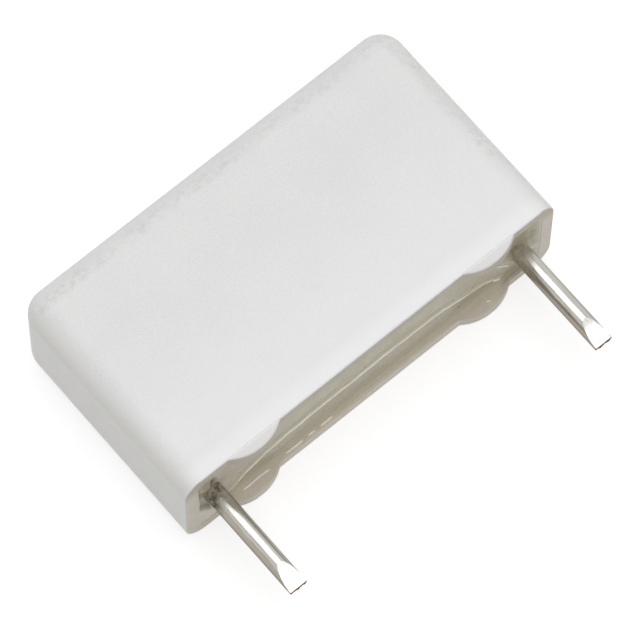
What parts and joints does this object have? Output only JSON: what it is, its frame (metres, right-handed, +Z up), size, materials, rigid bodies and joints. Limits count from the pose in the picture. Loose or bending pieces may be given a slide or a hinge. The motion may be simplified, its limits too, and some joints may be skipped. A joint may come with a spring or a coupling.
{
  "type": "box film capacitor",
  "caption": "Radial box film capacitor: moulded case with stand-off feet, potted film winding and tinned wire leads for through-hole mounting.",
  "frame": {"origin": "middle of the whole part's length and depth, on the surface that the lower broad face lies on", "axes": "+X along the lead row from the left lead to the right one, +Y from the leads towards the closed end, +Z up through the thickness"},
  "size_m": [0.018, 0.0146, 0.0055],
  "materials": {
    "case_plastic": "fine matt moulded surface, off-white",
    "resin": "cast epoxy, grey-brown, smooth and glossy",
    "film": "wound metallised film, satin silver",
    "sprayed_metal": "flame-sprayed metal, rough and grey",
    "tinned_wire": "hot-tinned copper wire, bright with faint drawing lines"
  },
  "bodies": {
    "root": {"case": "case_plastic", "potting_resin": "resin", "film_winding": "film", "end_spray_left": "sprayed_metal", "end_spray_right": "sprayed_metal", "lead_left": "tinned_wire", "lead_right": "tinned_wire"}
  },
  "joints": []
}
